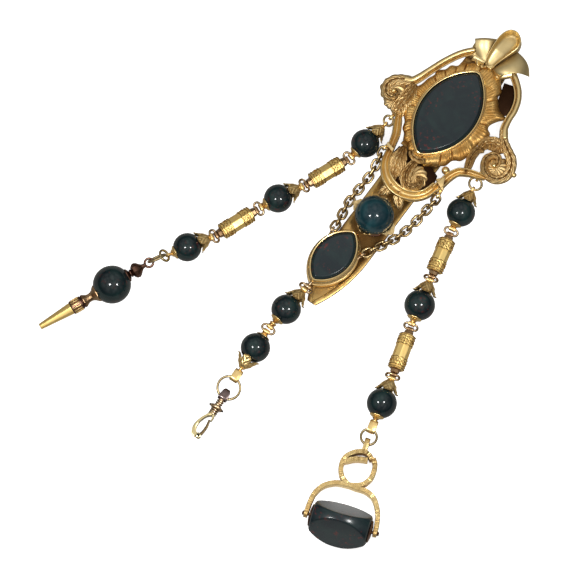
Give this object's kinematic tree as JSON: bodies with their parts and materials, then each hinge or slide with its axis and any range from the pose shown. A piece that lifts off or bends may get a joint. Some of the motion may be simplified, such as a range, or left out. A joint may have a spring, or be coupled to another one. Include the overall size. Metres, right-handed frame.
{
  "type": "chatelaine",
  "caption": "Belt chatelaine: scrolled brooch on a belt hook, chained pendant, and strands of round stones and barrels with a watch key, watch clip and turning seal.",
  "frame": {"origin": "on the hook plate's back face, under the centre of the main stone", "axes": "+Z out of the brooch's front, +Y towards the bow, along the hook plate"},
  "size_m": [0.1259, 0.1655, 0.0142],
  "materials": {
    "gold": "polished yellow gold",
    "gold_cast": "chased yellow gold, darker in its recesses",
    "gold_hook": "satin yellow gold",
    "gold_chain": "worn yellow gold",
    "gold_barrel": "polished yellow gold with chased bands",
    "bloodstone": "polished dark green stone with red specks"
  },
  "bodies": {
    "root": {"brooch": "gold_cast", "main_stone": "bloodstone", "belt_hook": "gold_hook", "boss_setting": "gold_cast", "boss_bead": "bloodstone", "pendant_case": "gold", "pendant_stone": "bloodstone", "left_chain": "gold_chain", "right_chain": "gold_chain", "left_top_ring": "gold", "right_top_ring": "gold", "left_bead_1": "bloodstone", "left_fitting_1": "gold", "right_bead_1": "bloodstone", "right_fitting_1": "gold", "left_bead_2": "bloodstone", "left_fitting_2": "gold", "right_bead_2": "bloodstone", "right_fitting_2": "gold", "left_bead_3": "bloodstone", "left_fitting_3": "gold", "right_bead_3": "bloodstone", "right_fitting_3": "gold", "left_barrel_1": "gold_barrel", "right_barrel_1": "gold_barrel", "centre_bead_1": "bloodstone", "centre_fitting_1": "gold", "centre_link_1": "gold", "key_ring_1": "gold", "left_barrel_2": "gold_barrel", "right_barrel_2": "gold_barrel", "centre_bead_2": "bloodstone", "centre_fitting_2": "gold", "centre_link_2": "gold", "key_ring_2": "gold", "left_link_1": "gold", "right_link_1": "gold", "left_link_2": "gold", "right_link_2": "gold", "left_link_3": "gold", "right_link_3": "gold", "left_link_4": "gold", "right_link_4": "gold", "key_bead": "bloodstone", "watch_key": "gold", "clip_ring": "gold", "clip_shackle": "gold", "fob_ring": "gold", "seal_frame": "gold"},
    "seal": {"seal_axle": "gold", "seal_stone": "bloodstone"},
    "clip": {"clip_hook": "gold"},
    "gate": {"clip_gate": "gold"}
  },
  "joints": [
    {"name": "seal_spin", "type": "hinge", "parent": "root", "child": "seal", "pos_m": [0.0495, -0.12527, 0.0047], "axis": [0.9432, 0.3322, 0], "continuous": true},
    {"name": "clip_swivel", "type": "hinge", "parent": "root", "child": "clip", "pos_m": [-0.00419, -0.10995, 0.00195], "axis": [0.0541, -0.9985, 0], "continuous": true},
    {"name": "clip_gate", "type": "hinge", "parent": "clip", "child": "gate", "pos_m": [-0.00302, -0.12792, 0.00195], "axis": [0, 0, 1], "range_deg": [0, 7], "stiffness_Nm_per_rad": 0.0001, "springref_deg": -17.19}
  ]
}
